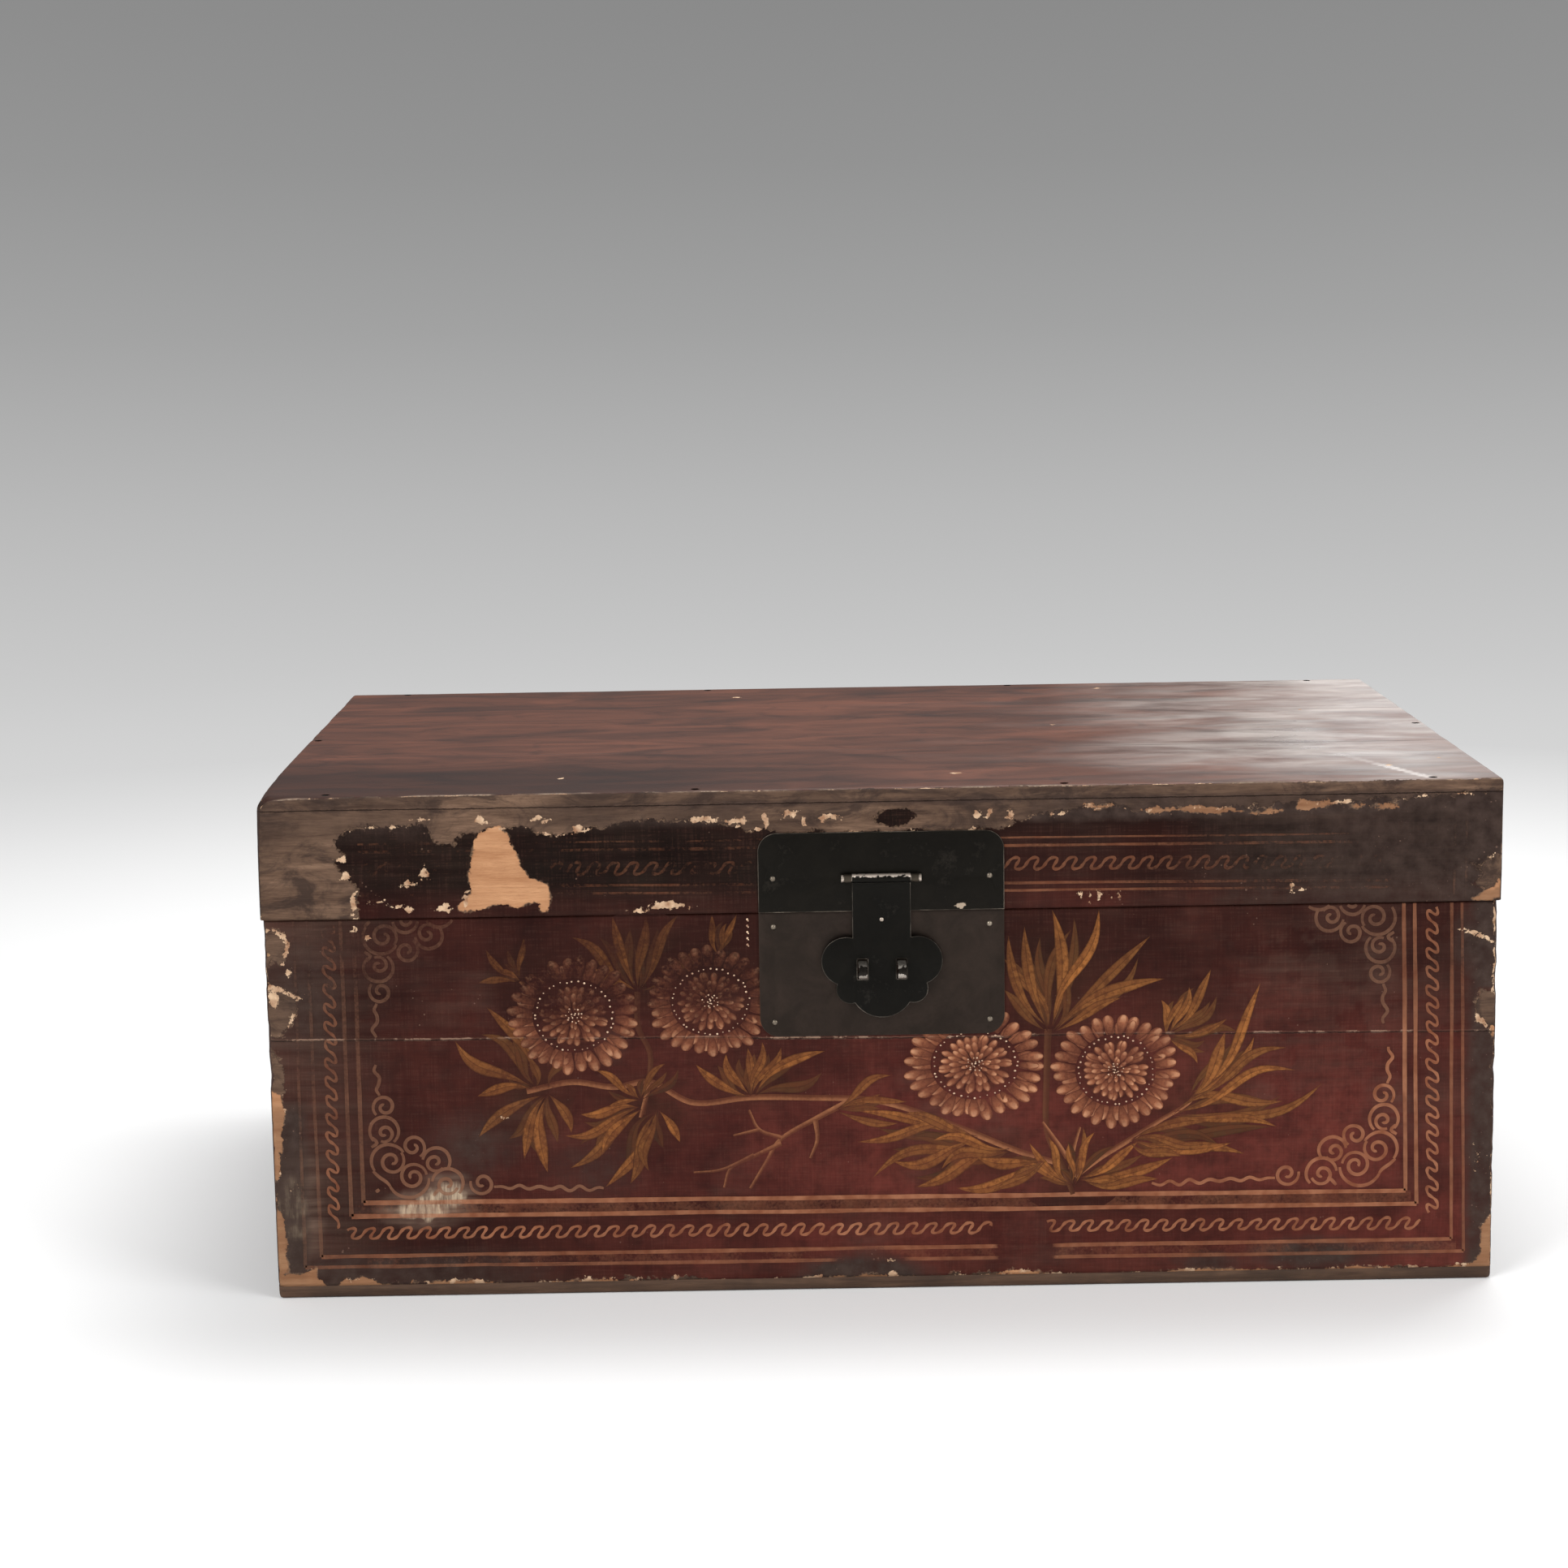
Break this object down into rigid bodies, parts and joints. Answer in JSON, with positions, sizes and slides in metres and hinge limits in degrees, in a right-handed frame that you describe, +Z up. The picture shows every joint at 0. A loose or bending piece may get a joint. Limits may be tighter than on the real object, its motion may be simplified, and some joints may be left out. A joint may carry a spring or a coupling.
{
  "type": "painted storage trunk",
  "caption": "Low wooden storage trunk with dovetailed board walls, a back-hinged overhanging lid, a hasp and staple lock plate, and bail handles on its ends.",
  "frame": {"origin": "centre of the underside, under the middle of the lid", "axes": "+Z up, the front with the lock faces -Y, +X to the viewer's right when facing the front"},
  "size_m": [0.8706, 0.5535, 0.3544],
  "materials": {
    "lacquered_wood": "aged dark red lacquer, glossy in part, worn and flaked to bare wood",
    "bottom_wood": "bare aged softwood",
    "lip_wood": "bare aged softwood",
    "plate_brass_dark": "dark green-black patina",
    "plate_brass_brown": "brown patina",
    "handle_brass": "dark patina, rubbed where held",
    "bright_brass": "rubbed bright",
    "brass_nail": "dull, rubbed on the domes",
    "hinge_iron": "wrought, dark with brown rust",
    "iron_nail": "rusted"
  },
  "bodies": {
    "box": {"back_lower_board": "lacquered_wood", "back_upper_board": "lacquered_wood", "bottom_back_plank": "bottom_wood", "bottom_front_plank": "bottom_wood", "bottom_middle_plank": "bottom_wood", "bottom_nails": "iron_nail", "front_lower_board": "lacquered_wood", "front_upper_board": "lacquered_wood", "hinge_box_nails": "brass_nail", "hinge_left_box_leaf": "hinge_iron", "hinge_left_pin": "hinge_iron", "hinge_right_box_leaf": "hinge_iron", "hinge_right_pin": "hinge_iron", "left_handle_eye_back": "handle_brass", "left_handle_eye_front": "handle_brass", "left_handle_rose_back": "handle_brass", "left_handle_rose_front": "handle_brass", "left_lower_board": "lacquered_wood", "left_upper_board": "lacquered_wood", "lip_back": "lip_wood", "lip_front": "lip_wood", "lip_left": "lip_wood", "lip_nails": "iron_nail", "lip_right": "lip_wood", "lock_plate_lower": "plate_brass_brown", "lock_plate_lower_nails": "brass_nail", "lock_staple_left": "plate_brass_dark", "lock_staple_right": "plate_brass_dark", "right_handle_eye_back": "handle_brass", "right_handle_eye_front": "handle_brass", "right_handle_rose_back": "handle_brass", "right_handle_rose_front": "handle_brass", "right_lower_board": "lacquered_wood", "right_upper_board": "lacquered_wood"},
    "lid": {"hasp_eye_left": "plate_brass_dark", "hasp_eye_right": "plate_brass_dark", "hasp_pin": "bright_brass", "hinge_left_lid_leaf": "hinge_iron", "hinge_lid_nails": "brass_nail", "hinge_right_lid_leaf": "hinge_iron", "lid_back_board": "lacquered_wood", "lid_front_board": "lacquered_wood", "lid_left_board": "lacquered_wood", "lid_right_board": "lacquered_wood", "lid_top_back_plank": "lacquered_wood", "lid_top_front_plank": "lacquered_wood", "lid_top_middle_plank": "lacquered_wood", "lid_top_nails": "iron_nail", "lock_plate_upper": "plate_brass_dark", "lock_plate_upper_nails": "brass_nail"},
    "hasp": {"hasp": "plate_brass_dark", "hasp_rivet": "bright_brass"},
    "left_bail": {"left_handle_bail": "handle_brass"},
    "right_bail": {"right_handle_bail": "handle_brass"}
  },
  "joints": [
    {"name": "lid_hinge", "type": "hinge", "parent": "box", "child": "lid", "pos_m": [0, 0.2685, 0.2692], "axis": [-1, 0, 0], "range_deg": [0, 110]},
    {"name": "hasp_hinge", "type": "hinge", "parent": "lid", "child": "hasp", "pos_m": [0, -0.2697, 0.2929], "axis": [-1, 0, 0], "range_deg": [0, 175]},
    {"name": "left_bail_swing", "type": "hinge", "parent": "box", "child": "left_bail", "pos_m": [-0.4299, 0.001, 0.224], "axis": [0, 1, 0], "range_deg": [0, 175]},
    {"name": "right_bail_swing", "type": "hinge", "parent": "box", "child": "right_bail", "pos_m": [0.4299, 0.001, 0.224], "axis": [0, -1, 0], "range_deg": [0, 175]}
  ]
}
